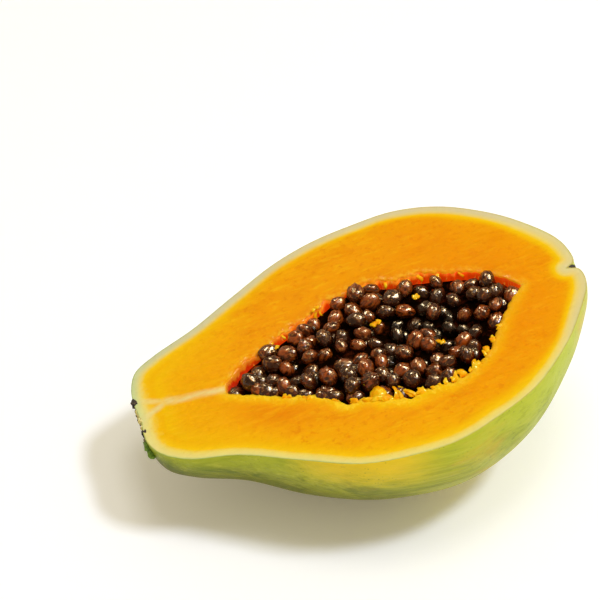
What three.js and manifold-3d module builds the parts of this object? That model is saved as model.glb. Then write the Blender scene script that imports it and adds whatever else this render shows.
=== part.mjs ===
// Half of a ripe papaya, cut lengthwise and lying on its round back, with the seeds still in its cavity.
// Millimetres, +Z up. The origin is the middle of the small flat spot that the half rests on, and +X
// runs level from the stalk end towards the blossom end. The cut face slopes down to the stalk end,
// because the fruit balances on its heavy belly.
import * as THREE from "three";
import { mergeVertices } from "three/addons/utils/BufferGeometryUtils.js";
import Module from "manifold-3d";

// Rest pose
const REST_PITCH_DEG = 10.4;
const FLAT_SPOT_DEPTH = 0.9;

// The skin, as rows of [along, far, near, deep]: the distance along the core line from the stalk end,
// and how far the skin stands from that line on the far side, on the near side and straight below.
const SKIN = [
  [0.8, 0, 0, 0],
  [0.2, 9, 6, 8],
  [0.8, 16, 11, 13],
  [4, 23.6, 17.2, 20.4],
  [12, 28.4, 23.6, 24.6],
  [28, 34.5, 29.5, 33],
  [46, 43.7, 40.7, 45.4],
  [64, 52.4, 51.3, 51.2],
  [80, 56.8, 55.3, 55.6],
  [96, 58.1, 56.1, 58.4],
  [112, 57.7, 52, 57.2],
  [128, 51.9, 45.3, 48.6],
  [144, 39, 32, 33.5],
  [154, 26.2, 19.8, 22.8],
  [159.5, 16, 11.5, 13.5],
  [161, 8.5, 6, 7],
  [160.4, 2, 1.8, 2],
  [157, 0, 0, 0],
];

// The seed cavity, in the same terms as the skin.
const CAVITY = [
  [31.3, 0, 0, 0],
  [32.2, 3, 1.3, 3],
  [36, 6.4, 3.2, 5.6],
  [45, 11.5, 8.5, 10],
  [58, 17, 16.4, 17],
  [72, 22.5, 25, 22],
  [86, 26.5, 29.8, 25],
  [100, 24, 30.6, 26],
  [113, 20.6, 28, 23],
  [124, 15.6, 17, 17],
  [134, 8, 4.8, 9],
  [140, 0, 0, 0],
];

// Five low ridges run along the skin and rise at the blossom end.
const RIDGES = 5;
const RIDGE_SHARE = 0.008;
const RIDGE_SHARE_AT_TIP = 0.035;
const TIP_FROM = 128;
const TIP_TO = 160;

// The torn edge of the cavity wanders by this much, in this many long and short waves from tip to tip.
const EDGE_WANDER = 0.8;
const EDGE_WAVES = [8.3, 21.7];

// Mesh steps along each profile and round its back.
const SKIN_STEPS = [44, 24];
const CAVITY_STEPS = [34, 14];

// Seeds
const SEED_PITCH = 6.5;
const SEED_LENGTH = [6.2, 8.6];
const SEED_SLIMNESS = 0.8;
const SEED_SIDES = 7;
const SEED_RINGS = 4;
const SEED_JITTER = 2.6;
const SEED_LIFT = 1.9;
const SEED_FROM_EDGE = 1.8;
const SEED_SPACING = 0.78;
const SETTLE_ROUNDS = 16;
const CORE_INSET = 0.8;
const CORE_BELOW_BED = 0.9;

// The bed of seeds: its level below the cut face, and its mounds (positive) and hollows (negative),
// each as [along, across, radius, height].
const BED_LEVEL = -2.2;
const BED_FORMS = [
  [62, 2, 20, 1.8],
  [84, 20, 12, 2.4],
  [97, 3, 8, -4.5],
  [111, -9, 9, -4],
  [101, -12, 6, 2.6],
  [129, 5, 10, 1.6],
  [74, -16, 8, 1.2],
  [30, 0, 5, -3],
  [140, 0, 5, -3],
];

// Tufts of torn pulp at the cavity's edge, as [along, side, radius, reach]. The far side is 1, the near side -1.
const TUFTS = [
  [49, -1, 0.8, 1.2],
  [57, -1, 1, 1.8],
  [64, -1, 0.9, 1.4],
  [70, -1, 1.2, 2],
  [74.5, -1, 1, 2.6],
  [78, -1, 2.1, 3.6],
  [81.5, -1, 0.9, 4.4],
  [85, -1, 1.1, 5.6],
  [88.5, -1, 0.8, 3.8],
  [93, -1, 1.2, 2.4],
  [98, -1, 0.8, 1.6],
  [103.5, -1, 1.1, 3.4],
  [107, -1, 0.9, 4.2],
  [110, -1, 1.1, 3.2],
  [114, -1, 1.3, 2.2],
  [118, -1, 0.9, 3],
  [121.5, -1, 1.2, 2.2],
  [126, -1, 0.8, 1.4],
  [52, 1, 0.9, 1.6],
  [71, 1, 1, 2.2],
  [90, 1, 0.8, 1.6],
  [98, 1, 0.9, 2],
  [104, 1, 1.3, 2.8],
  [109, 1, 1, 2],
  [116, 1, 1.1, 2.2],
  [123, 1, 0.8, 1.6],
];
const TUFT_ROOT = [1.2, -0.9];
const TUFT_SIDES = 6;
const TUFT_TAPER = 0.55;

// Bits of the broken stalk, as [across, down, size].
const SCAR_BITS = [
  [10.4, 1, 2.5],
  [8, 3.6, 1.7],
  [5.9, 1.1, 1.1],
  [3.6, 0.9, 1],
  [1.2, 0.9, 1.3],
  [-1.7, 1.1, 1.1],
  [-4.4, 1.1, 1.9],
  [-6.4, 2.6, 1.4],
  [-8.5, 3.4, 2.3],
  [6.2, 5.6, 1.6],
  [1.5, 7.2, 1.7],
  [-3.6, 6.3, 1.5],
];
const SCAR_ALONG = 0.6;

const GAP = 0.35;
const RANDOM_SEED = 20417;
const LEHMER_FACTOR = 16807;
const LEHMER_MODULUS = 2147483647;

const wasm = await Module();
wasm.setup();

// A repeatable stream of numbers from 0 to 1.
function draws(start) {
  let state = start;
  return () => {
    state = (state * LEHMER_FACTOR) % LEHMER_MODULUS;
    return state / LEHMER_MODULUS;
  };
}

const between = ([low, high], share) => low + (high - low) * share;

// One of the library's closed shapes with its seams joined. That comes before any move, so they match exactly.
function welded(geometry) {
  geometry.deleteAttribute("normal");
  geometry.deleteAttribute("uv");
  return mergeVertices(geometry, 1e-4);
}

// A closed, welded geometry as a solid that can be joined and cut.
function solidOf(geometry) {
  const corners = geometry.index.array;
  const kept = [];
  for (let i = 0; i < corners.length; i += 3) {
    const [a, b, c] = corners.slice(i, i + 3);
    if (a !== b && b !== c && c !== a) kept.push(a, b, c);
  }
  const mesh = { numProp: 3, vertProperties: geometry.attributes.position.array, triVerts: new Uint32Array(kept) };
  return new wasm.Manifold(new wasm.Mesh(mesh));
}

function geometryOf(solid) {
  const { numProp, vertProperties, triVerts } = solid.getMesh();
  const positions = new Float32Array((vertProperties.length / numProp) * 3);
  for (let i = 0; i < positions.length / 3; i++) {
    positions.set(vertProperties.subarray(i * numProp, i * numProp + 3), i * 3);
  }
  const geometry = new THREE.BufferGeometry();
  geometry.setAttribute("position", new THREE.BufferAttribute(positions, 3));
  geometry.setIndex(new THREE.BufferAttribute(triVerts, 1));
  geometry.computeVertexNormals();
  return geometry;
}

const union = (solids) => solids.reduce((whole, solid) => whole.add(solid));

// Smooth curves through the rows of a profile. The result gives the places [along, out] on the far side, on
// the near side and straight below, for t from 0 to 1, drawn in by the inset.
function meridians(rows, inset = 0) {
  const curves = [1, 2, 3].map((column) => {
    const points = rows.map((row) => new THREE.Vector3(row[0], row[column], 0));
    return new THREE.CatmullRomCurve3(points, false, "centripetal");
  });
  return (t) =>
    curves.map((curve) => {
      const place = curve.getPoint(t);
      const heading = curve.getTangent(t);
      return [place.x + inset * heading.y, Math.max(place.y - inset * heading.x, 0)];
    });
}

function smoothStep(low, high, x) {
  const share = THREE.MathUtils.clamp((x - low) / (high - low), 0, 1);
  return share * share * (3 - 2 * share);
}

// How much a ridge lifts the skin at that place along the fruit and that angle round its back.
function ridge(along, angle) {
  const share = RIDGE_SHARE + RIDGE_SHARE_AT_TIP * smoothStep(TIP_FROM, TIP_TO, along);
  return 1 + share * Math.sin(RIDGES * angle);
}

// How far the torn edge of the cavity stands out at t. It fades to nothing at the bottom and at the tips.
function wander(t, angle) {
  const [long, short] = EDGE_WAVES;
  const side = Math.cos(angle);
  const wave = Math.sin(2 * Math.PI * long * t + 2 * side) + 0.6 * Math.sin(2 * Math.PI * short * t - side);
  return EDGE_WANDER * wave * side * side * Math.sin(Math.PI * t);
}

// A closed body through rings of points between two end points. Every ring runs the same way round.
function loft(first, rings, last) {
  const around = rings[0].length;
  const points = [first, ...rings.flat(), last];
  const corner = (ring, step) => 1 + ring * around + (step % around);
  const faces = [];
  for (let step = 0; step < around; step++) {
    faces.push(0, corner(0, step), corner(0, step + 1));
    for (let ring = 1; ring < rings.length; ring++) {
      const [a, b] = [corner(ring - 1, step), corner(ring - 1, step + 1)];
      const [c, d] = [corner(ring, step + 1), corner(ring, step)];
      faces.push(a, d, c, a, c, b);
    }
    faces.push(corner(rings.length - 1, step + 1), corner(rings.length - 1, step), points.length - 1);
  }
  const geometry = new THREE.BufferGeometry();
  geometry.setAttribute("position", new THREE.Float32BufferAttribute(points.flat(), 3));
  geometry.setIndex(faces);
  return geometry;
}

// A half body under the cut face, with straight walls that go on above it up to the height of the lid.
function halfBody(profile, [steps, backSteps], shape, lid) {
  const ring = (t) => {
    const [far, near, deep] = profile(t);
    const back = Array.from({ length: backSteps + 1 }, (_, step) => {
      const angle = (Math.PI * step) / backSteps;
      const side = Math.cos(angle);
      const edge = side > 0 ? far : near;
      const along = edge[0] * side * side + deep[0] * (1 - side * side);
      const { scale, outward } = shape(t, along, angle);
      return [along, (edge[1] * scale + outward) * side, -deep[1] * scale * Math.sin(angle)];
    });
    const [[x0, y0], [x1, y1]] = [back[backSteps], back[0]];
    return [...back, [x0, y0, lid], [x1, y1, lid]];
  };
  const end = (t) => [profile(t)[0][0], 0, 0];
  const rings = Array.from({ length: steps - 1 }, (_, i) => ring((i + 1) / steps));
  return solidOf(loft(end(0), rings, end(1)));
}

const skinShape = (t, along, angle) => ({ scale: ridge(along, angle), outward: 0 });
const cavityShape = (t, along, angle) => ({ scale: 1, outward: wander(t, angle) });

// The height of the bed of seeds, measured from the cut face.
function bed(x, y) {
  const lifts = BED_FORMS.map(([along, across, radius, height]) => {
    const distance = ((x - along) ** 2 + (y - across) ** 2) / radius ** 2;
    return height * Math.exp(-distance);
  });
  return lifts.reduce((sum, lift) => sum + lift, BED_LEVEL);
}

// The cavity's edge on the cut face at that place along the fruit, as [far, near] distances from the core line.
function cavityEdge(along) {
  const columns = [1, 2].map((column) => {
    const last = CAVITY.length - 1;
    const next = Math.min(Math.max(CAVITY.findIndex((row) => row[0] > along), 1), last);
    const [before, after] = [CAVITY[next - 1], CAVITY[next]];
    const share = THREE.MathUtils.clamp((along - before[0]) / (after[0] - before[0]), 0, 1);
    return before[column] + (after[column] - before[column]) * share;
  });
  return columns;
}

// Where each seed lies: a loose staggered grid over the cavity's mouth, shaken, then pushed apart until the
// seeds only just press on each other.
function seedPlaces() {
  const draw = draws(RANDOM_SEED);
  const seeds = [];
  const rowPitch = SEED_PITCH * Math.sin(Math.PI / 3);
  const [start, end] = [CAVITY[0][0], CAVITY[CAVITY.length - 1][0]];
  for (let row = -7; row <= 7; row++) {
    for (let column = 0; column * SEED_PITCH < end - start; column++) {
      const x = start + 3 + (column + (row % 2 ? 0.5 : 0)) * SEED_PITCH + SEED_JITTER * (2 * draw() - 1);
      const y = row * rowPitch + SEED_JITTER * (2 * draw() - 1);
      const lift = draw();
      const length = between(SEED_LENGTH, draw());
      const turns = [draw(), draw(), draw()].map((share) => share * 2 * Math.PI);
      const [far, near] = cavityEdge(x);
      const inside = y < far - SEED_FROM_EDGE && y > SEED_FROM_EDGE - near && x < end - 2;
      if (inside) seeds.push({ x, y, lift, length, turns });
    }
  }
  for (let round = 0; round < SETTLE_ROUNDS; round++) {
    seeds.forEach((a, i) => {
      for (const b of seeds.slice(i + 1)) {
        const apart = Math.hypot(b.x - a.x, b.y - a.y, (b.lift - a.lift) * 2 * SEED_LIFT);
        const wanted = (SEED_SPACING * (a.length + b.length)) / 2;
        if (apart >= wanted || apart === 0) continue;
        const push = (wanted - apart) / apart / 4;
        a.x -= (b.x - a.x) * push;
        a.y -= (b.y - a.y) * push;
        b.x += (b.x - a.x) * push;
        b.y += (b.y - a.y) * push;
      }
      const [far, near] = cavityEdge(a.x);
      a.y = THREE.MathUtils.clamp(a.y, Math.min(SEED_FROM_EDGE - near, 0), Math.max(far - SEED_FROM_EDGE, 0));
      a.x = THREE.MathUtils.clamp(a.x, start + 3.5, end - 4);
    });
  }
  return seeds.map((seed) => ({ ...seed, z: bed(seed.x, seed.y) + SEED_LIFT * (2 * seed.lift - 1) }));
}

function seedSolid({ x, y, z, length, turns }) {
  const geometry = welded(new THREE.SphereGeometry(length / 2, SEED_SIDES, SEED_RINGS));
  geometry.scale(SEED_SLIMNESS, 1, SEED_SLIMNESS);
  geometry.rotateX(turns[0]).rotateY(turns[1]).rotateZ(turns[2]);
  return solidOf(geometry.translate(x, y, z));
}

// A tuft of pulp from its root in the cavity's edge to its tip: near tufts lie over the seeds, far ones hang down.
function tuftSolid([along, side, radius, reach], extra = 0) {
  const [far, near] = cavityEdge(along);
  const [behind, height] = TUFT_ROOT;
  const root = new THREE.Vector3(along, side > 0 ? far + behind : -near - behind, height);
  const fall = side > 0 ? 1.2 + 0.5 * reach : 0.3;
  const tip = new THREE.Vector3(along, root.y - side * (reach + 1), -fall);
  const axis = new THREE.Vector3().subVectors(tip, root);
  const length = axis.length() + extra;
  const thin = radius * TUFT_TAPER + extra;
  const geometry = welded(new THREE.CylinderGeometry(thin, radius + extra, length, TUFT_SIDES));
  const upright = new THREE.Vector3(0, 1, 0);
  geometry.applyQuaternion(new THREE.Quaternion().setFromUnitVectors(upright, axis.clone().normalize()));
  const middle = root.clone().addScaledVector(axis.normalize(), length / 2);
  return solidOf(geometry.translate(middle.x, middle.y, middle.z));
}

// Small torn bits at and below the cut face, round the scar of the stalk.
function scarBits() {
  const draw = draws(RANDOM_SEED + 2);
  return SCAR_BITS.map(([across, down, size]) => {
    const geometry = welded(new THREE.DodecahedronGeometry(size, 0));
    geometry.rotateX(draw() * Math.PI).rotateZ(draw() * Math.PI);
    return solidOf(geometry.translate(SCAR_ALONG, across, -down));
  });
}

// A block over the whole fruit from one height to another.
function slab(bottom, top) {
  const size = 260;
  const block = welded(new THREE.BoxGeometry(size, size, top - bottom));
  return solidOf(block.translate(size / 3, 0, (bottom + top) / 2));
}

// Everything below the bed of seeds.
function underBed() {
  const depth = 60;
  const block = welded(new THREE.BoxGeometry(130, 90, depth, 16, 11, 1)).translate(85, 0, -depth);
  const places = block.attributes.position;
  for (let i = 0; i < places.count; i++) {
    const [x, y, z] = [places.getX(i), places.getY(i), places.getZ(i)];
    if (z > -depth) places.setZ(i, bed(x, y) - CORE_BELOW_BED);
  }
  return solidOf(block);
}

const rest = new THREE.Group();
rest.rotation.y = THREE.MathUtils.degToRad(-REST_PITCH_DEG);

// Everything below the floor, as it lies against the fruit when its lowest point sinks in by the flat spot's depth.
function floorUnder(skinSolid) {
  rest.updateMatrix();
  const points = geometryOf(skinSolid).applyMatrix4(rest.matrix);
  points.computeBoundingBox();
  const level = points.boundingBox.min.z + FLAT_SPOT_DEPTH;
  const size = 500;
  const block = welded(new THREE.BoxGeometry(size, size, size)).translate(0, 0, level - size / 2);
  return { level, solid: solidOf(block.applyMatrix4(rest.matrix.clone().invert())) };
}

// Moves the whole fruit so that the middle of its flat spot is at the origin.
function standOnOrigin(solid, level) {
  const points = geometryOf(solid).applyMatrix4(rest.matrix).attributes.position;
  const spot = new THREE.Box3();
  for (let i = 0; i < points.count; i++) {
    const point = new THREE.Vector3().fromBufferAttribute(points, i);
    if (point.z < level + 1e-3) spot.expandByPoint(point);
  }
  const middle = spot.getCenter(new THREE.Vector3());
  rest.position.set(-middle.x, -middle.y, -level);
}

function fruitHalf() {
  const skinSolid = halfBody(meridians(SKIN), SKIN_STEPS, skinShape, 3);
  const floor = floorUnder(skinSolid);
  const mouth = halfBody(meridians(CAVITY), CAVITY_STEPS, cavityShape, 4);
  const pulp = union(TUFTS.map((tuft) => tuftSolid(tuft)));
  const whole = union([skinSolid, ...scarBits()]).subtract(slab(0, 20)).subtract(mouth).add(pulp);
  const cut = whole.subtract(floor.solid);
  standOnOrigin(cut, floor.level);
  return cut;
}

function seedMass() {
  const room = halfBody(meridians(CAVITY, GAP), CAVITY_STEPS, cavityShape, 4).add(slab(GAP, 12));
  const core = halfBody(meridians(CAVITY, CORE_INSET), CAVITY_STEPS, cavityShape, 4).intersect(underBed());
  const clearOfPulp = union(TUFTS.map((tuft) => tuftSolid(tuft, GAP)));
  const mass = union([core, ...seedPlaces().map(seedSolid)]);
  const pieces = mass.intersect(room).subtract(clearOfPulp).decompose();
  return pieces.sort((a, b) => b.volume() - a.volume())[0];
}

function part(name, solid, color, roughness) {
  const material = new THREE.MeshStandardMaterial({ color, roughness, metalness: 0 });
  const mesh = new THREE.Mesh(geometryOf(solid), material);
  mesh.name = name;
  return mesh;
}

rest.add(part("fruit_half", fruitHalf(), 0xf39a12, 0.5));
rest.add(part("seeds", seedMass(), 0x2b1a12, 0.3));

const papaya = new THREE.Group();
papaya.add(rest);

export default papaya;
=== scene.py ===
"""Half of a ripe papaya, cut lengthwise, with its seeds: the peel, the cut flesh and the cavity as one
skin, loose wet seeds on a dark bed, torn pulp, the scar of the stalk, and a pale studio stage.

The fruit is drawn in its own frame, in millimetres: x along the core line from the stalk end, y to the far
side and z up out of the cut face. to_row turns that into the frame that the solids use, in metres."""

import math

import bmesh
import bpy
from mathutils import Matrix, Vector, kdtree, noise


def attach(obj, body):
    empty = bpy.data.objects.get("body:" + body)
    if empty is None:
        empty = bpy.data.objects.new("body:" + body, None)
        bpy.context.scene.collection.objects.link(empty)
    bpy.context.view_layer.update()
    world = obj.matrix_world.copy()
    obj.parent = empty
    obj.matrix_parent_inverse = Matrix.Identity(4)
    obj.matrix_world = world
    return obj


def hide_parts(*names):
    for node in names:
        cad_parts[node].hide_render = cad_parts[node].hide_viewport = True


bl_info = {
    "name": "Papaya Half",
    "version": (1, 0, 0),
    "blender": (4, 5, 0),
    "location": "View3D > Sidebar > Papaya",
    "description": "Builds a cut papaya half with its seeds, pulp, stalk scar and a studio stage",
    "category": "Add Mesh",
}

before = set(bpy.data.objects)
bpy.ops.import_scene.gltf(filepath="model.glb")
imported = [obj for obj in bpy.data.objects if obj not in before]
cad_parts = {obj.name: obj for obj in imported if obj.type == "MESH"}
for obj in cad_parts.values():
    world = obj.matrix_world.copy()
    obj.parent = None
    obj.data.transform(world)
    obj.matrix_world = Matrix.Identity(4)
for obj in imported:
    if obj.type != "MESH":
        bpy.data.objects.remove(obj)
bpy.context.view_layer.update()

# Metres: a millimetre, and how near to each other two points of a piece are merged.
MM = 0.001
MERGE_DISTANCE = 4e-6

# How the fruit lies: its core line rises to the blossom end, and the flat spot's middle is the row's origin.
REST_PITCH = math.radians(10.4)
CORE_START = Vector((-94.4216, -0.1209, 40.0742))

# The skin and the seed cavity, as rows of [along, far, near, deep], as in the part's source.
SKIN = (
    (0.8, 0, 0, 0),
    (0.2, 9, 6, 8),
    (0.8, 16, 11, 13),
    (4, 23.6, 17.2, 20.4),
    (12, 28.4, 23.6, 24.6),
    (28, 34.5, 29.5, 33),
    (46, 43.7, 40.7, 45.4),
    (64, 52.4, 51.3, 51.2),
    (80, 56.8, 55.3, 55.6),
    (96, 58.1, 56.1, 58.4),
    (112, 57.7, 52, 57.2),
    (128, 51.9, 45.3, 48.6),
    (144, 39, 32, 33.5),
    (154, 26.2, 19.8, 22.8),
    (159.5, 16, 11.5, 13.5),
    (161, 8.5, 6, 7),
    (160.4, 2, 1.8, 2),
    (157, 0, 0, 0),
)
CAVITY = (
    (31.3, 0, 0, 0),
    (32.2, 3, 1.3, 3),
    (36, 6.4, 3.2, 5.6),
    (45, 11.5, 8.5, 10),
    (58, 17, 16.4, 17),
    (72, 22.5, 25, 22),
    (86, 26.5, 29.8, 25),
    (100, 24, 30.6, 26),
    (113, 20.6, 28, 23),
    (124, 15.6, 17, 17),
    (134, 8, 4.8, 9),
    (140, 0, 0, 0),
)

# Low ridges along the skin, which rise at the blossom end.
RIDGES = 5
RIDGE_SHARE = 0.008
RIDGE_SHARE_AT_TIP = 0.035
TIP_SPAN = (128, 160)

# The torn edge of the cavity wanders in long and short waves.
EDGE_WAVES = (8.3, 21.7, 37.1)

# Mesh steps. The cut face's rows crowd to its rim by a power, and are smoothed a few times.
ALONG_STEPS = 150
BACK_STEPS = 80
CUT_STEPS = 30
CUT_POWER = 1.25
CUT_SMOOTHINGS = 8
WALL_STEPS = 36
EDGE_SAMPLES = 1600

# What lies higher than this belongs to the cut face, and the deepest that the measure "down" runs to.
CUT_LEVEL = -0.05
DEEPEST = 60

# Where the cavity's near edge is torn wider or narrower, as [along, width, depth].
BITES = (
    (54.5, 6, -1.8),
    (63.8, 3, -2),
    (68.5, 1.5, 1.7),
    (73.5, 2.6, -2),
    (90.5, 1.8, 0.8),
    (97, 2.4, -0.5),
)

# The bed that the seeds lie on, as a level and mounds or hollows of [along, across, radius, height].
BED_LEVEL = -2.2
BED_FORMS = (
    (62, 2, 20, 1.8),
    (84, 20, 12, 2.4),
    (97, 3, 8, -4.5),
    (111, -9, 9, -4),
    (101, -12, 6, 2.6),
    (129, 5, 10, 1.6),
    (74, -16, 8, 1.2),
    (30, 0, 5, -3),
    (140, 0, 5, -3),
)
BED_BELOW = 1.4

# Seeds, placed by the same rule as in the part's source.
SEED_PITCH = 6.5
SEED_LENGTH = (6.2, 8.6)
SEED_SLIMNESS = 0.8
SEED_JITTER = 2.6
SEED_LIFT = 1.9
SEED_FROM_EDGE = 1.8
SEED_SPACING = 0.78
SETTLE_ROUNDS = 16
SEED_ROWS = 7

# The lower layer: every second seed again, moved, and kept off the edge.
LOWER_SHIFT = (2.8, 1.6, -3)
LOWER_FROM_EDGE = 3.5

# More seeds, tucked in along the cavity's near edge at the stalk end.
LIP_SEEDS = 7
LIP_SEED_SPAN = (42, 74)

RANDOM_SEED = 20417
LEHMER_FACTOR = 16807
LEHMER_MODULUS = 2147483647

# Tufts of torn pulp at the cavity's edge, as [along, side, radius, reach, lean].
# The far side is 1, the near side -1.
TUFTS = (
    (49, -1, 0.8, 1.2, 0.5),
    (57, -1, 1, 1.4, -0.6),
    (64, -1, 0.9, 1, 0.4),
    (70, -1, 1, 1.2, 1),
    (74.5, -1, 1.3, 1.4, 0.6),
    (78, -1, 2.2, 3.2, 0.4),
    (80.5, -1, 1.5, 1.6, -0.8),
    (84, -1, 0.8, 5.8, 0.2),
    (89, -1, 1, 6, -3.4),
    (91, -1, 0.9, 1.8, 1.2),
    (96, -1, 0.8, 0.8, 0.5),
    (100.7, -1, 0.7, 2.6, 0.4),
    (104, -1, 0.8, 3.8, 1),
    (107.2, -1, 1.1, 2.6, -0.8),
    (110.6, -1, 0.7, 3.6, 3),
    (113.5, -1, 1, 1.6, -0.6),
    (118, -1, 0.9, 2, 1),
    (121.5, -1, 1, 1.6, 0.8),
    (126, -1, 0.8, 1.2, 0),
    (52, 1, 0.9, 1.6, 0.6),
    (71, 1, 1, 2.2, -0.8),
    (90, 1, 0.8, 1.6, 0.5),
    (98, 1, 0.9, 2, -1),
    (104, 1, 1.3, 2.8, 0.6),
    (109, 1, 1, 2, 1),
    (116, 1, 1.1, 2.2, -0.5),
    (123, 1, 0.8, 1.6, 0.4),
)
LONG_REACH = 5

# Scraps of pulp that lie on the seeds, as [along, across, size].
SCRAPS = (
    (88.5, 6, 1.8),
    (105, 13, 1.4),
    (105, -12.5, 1.5),
    (71, 22, 1.2),
    (54, 10, 1.2),
    (76, -19, 1.3),
)

# Where the small torn bits of pulp begin and end along the fruit.
THREAD_SPAN = (48, 128)

# The big soft lump of pulp at the near edge, from one end to the other, and how thick its ends are.
LUMP_ENDS = ((75.4, -24.9, -0.5), (81.6, -25.3, -0.2))
LUMP_THICKNESS = (1.7, 2.3)

# Bits of the broken stalk, as [across, down, size, tone].
# The tone runs from dark cork by pale fibre to green.
SCAR_BITS = (
    (10.2, 1, 1.8, 0),
    (8, 3.6, 1.6, 0.1),
    (5.9, 1.1, 1.1, 0.5),
    (3.6, 0.9, 1, 0.4),
    (1.2, 0.9, 1.3, 0.55),
    (-1.7, 1.1, 1.1, 0.5),
    (-4.4, 1.1, 1.4, 0),
    (-6.4, 2.6, 1.3, 0.3),
    (-8.5, 3.4, 2.4, 1),
    (-10.9, 4.6, 2, 1),
    (6.2, 5.6, 1.6, 0.2),
    (1.5, 7.2, 1.7, 0.1),
    (-3.6, 6.3, 1.5, 0.25),
)

# The dry remnant of the flower, and how far it reaches each way.
FLOWER_PLACE = (158.2, 0.1, -0.8)
FLOWER_SIZE = (2.4, 1, 1.2)

# The lights, as places in the row's frame and sizes, all turned to one point. A card also has its share
# of the cards' power.
LIT_POINT = (0, 0, 0.04)
KEY_PLACE = (1.1, -0.78, 2.6)
KEY_SIZE = 0.42
BOX_PLACE = (0.02, -0.12, 1.25)
BOX_SIZE = 0.4
CARDS = (((0.6, 0.1, 1.1), 0.42, 1), ((-0.25, 0.75, 1.05), 0.34, 0.4))
CARD_COLOUR = (1, 0.87, 0.58)
FLOOR_SIZE = 8

# Where the camera stands, in the fruit's own frame: its turn round the fruit, its height, its lean and its
# distance from the core line's middle, and where on the picture that point falls.
CAMERA_TURN = math.radians(-8.01)
CAMERA_HEIGHT = math.radians(45.56)
CAMERA_LEAN = math.radians(-14.21)
CAMERA_DISTANCE = 611.4
CAMERA_TARGET = Vector((80, 1.9, 0))
FOCAL_PIXELS = 1773.3
PICTURE_PIXELS = 600
TARGET_OFF_CENTRE = (57.4, 39.7)
SENSOR = 36


def tint(red, green, blue):
    """A colour from screen values of 0 to 255, as the light values that materials use."""
    shades = (red, green, blue)
    return tuple(((c / 255 + 0.055) / 1.055) ** 2.4 if c > 10 else c / 255 / 12.92 for c in shades) + (1,)


def draws(start):
    """A repeatable stream of numbers from 0 to 1."""
    state = start
    while True:
        state = state * LEHMER_FACTOR % LEHMER_MODULUS
        yield state / LEHMER_MODULUS


def between(span, share):
    return span[0] + (span[1] - span[0]) * share


def clamp(value, low, high):
    return max(low, min(value, high))


def smooth_step(low, high, value):
    share = clamp((value - low) / (high - low), 0, 1)
    return share * share * (3 - 2 * share)


def to_row(place):
    """A place in the fruit's own frame as a place in the row's frame."""
    x, y, z = place
    cosine, sine = math.cos(REST_PITCH), math.sin(REST_PITCH)
    return (Vector((cosine * x - sine * z, y, sine * x + cosine * z)) + CORE_START) * MM


def curve_point(points, t):
    """A point of the smooth centripetal curve through the points, at t from 0 to 1."""
    last = len(points) - 1
    span = clamp(int(last * t), 0, last - 1)
    share = last * t - span
    p1, p2 = points[span], points[span + 1]
    p0 = points[span - 1] if span > 0 else 2 * points[0] - points[1]
    p3 = points[span + 2] if span + 2 <= last else 2 * points[last] - points[last - 1]
    d0, d1, d2 = ((b - a).length ** 0.5 for a, b in ((p0, p1), (p1, p2), (p2, p3)))
    start = ((p1 - p0) / d0 - (p2 - p0) / (d0 + d1) + (p2 - p1) / d1) * d1
    end = ((p2 - p1) / d1 - (p3 - p1) / (d1 + d2) + (p3 - p2) / d2) * d1
    cubic = 2 * p1 - 2 * p2 + start + end
    square = -3 * p1 + 3 * p2 - 2 * start - end
    return ((cubic * share + square) * share + start) * share + p1


class Profile:
    """Smooth curves on the far side, on the near side and straight below, through the rows of a table."""

    def __init__(self, rows):
        self.curves = [[Vector((row[0], row[column])) for row in rows] for column in (1, 2, 3)]
        fine = 1200
        places = [self.at(i / fine) for i in range(fine + 1)]
        travelled = [0]
        for before, after in zip(places, places[1:]):
            travelled.append(travelled[-1] + sum((b - a).length for a, b in zip(before, after)) / 3)
        self.evenly = []
        step = 0
        for i in range(ALONG_STEPS + 1):
            goal = travelled[-1] * i / ALONG_STEPS
            while step < fine and travelled[step + 1] < goal:
                step += 1
            gained = travelled[min(step + 1, fine)] - travelled[step]
            share = (goal - travelled[step]) / gained if gained else 0
            self.evenly.append(clamp((step + share) / fine, 0, 1))

    def at(self, t):
        return [curve_point(points, t) for points in self.curves]

    def t_at(self, share):
        """The curve's t at a share of the way along the skin."""
        place = clamp(share, 0, 1) * ALONG_STEPS
        step = min(int(place), ALONG_STEPS - 1)
        return between(self.evenly[step : step + 2], place - step)


def ridge(along, angle):
    share = RIDGE_SHARE + RIDGE_SHARE_AT_TIP * smooth_step(*TIP_SPAN, along)
    return 1 + share * math.sin(RIDGES * angle)


def wander(t, angle, reach):
    """How far the torn edge of the cavity stands out at t."""
    side = math.cos(angle)
    wave = math.sin(2 * math.pi * EDGE_WAVES[0] * t + 2 * side)
    ripple = math.sin(2 * math.pi * EDGE_WAVES[1] * t - side)
    tear = math.sin(2 * math.pi * EDGE_WAVES[2] * t + 3 * math.sin(9 * t))
    tear *= 0.8 * smooth_step(0.08, 0.3, t)
    return reach * (wave + 0.6 * ripple + tear) * side * side * math.sin(math.pi * t)


def section(profile, t, angle):
    """The curves at t, seen at an angle: the share to the side, the place along, the edge and the depth."""
    far, near, deep = profile.at(t)
    side = math.cos(angle)
    edge = far if side > 0 else near
    return side, edge.x * side * side + deep.x * (1 - side * side), edge.y, deep.y


def skin_place(profile, t, angle):
    """A place on the skin: angle 0 is the far edge, 180 degrees the near edge."""
    side, along, edge, deep = section(profile, t, angle)
    scale = ridge(along, angle)
    return Vector((along, edge * scale * side, -deep * scale * math.sin(angle)))


def wall_place(profile, t, angle, reach, inset=0):
    """A place on the cavity's wall, drawn in by the inset."""
    side, along, edge, deep = section(profile, t, angle)
    outward = wander(t, angle, reach) - min(inset, edge)
    if reach and side < 0:
        bites = (depth * math.exp(-(((along - middle) / width) ** 2)) for middle, width, depth in BITES)
        outward += side * side * sum(bites)
    return Vector((along, (edge + outward) * side, -max(deep - inset, 0) * math.sin(angle)))


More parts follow.
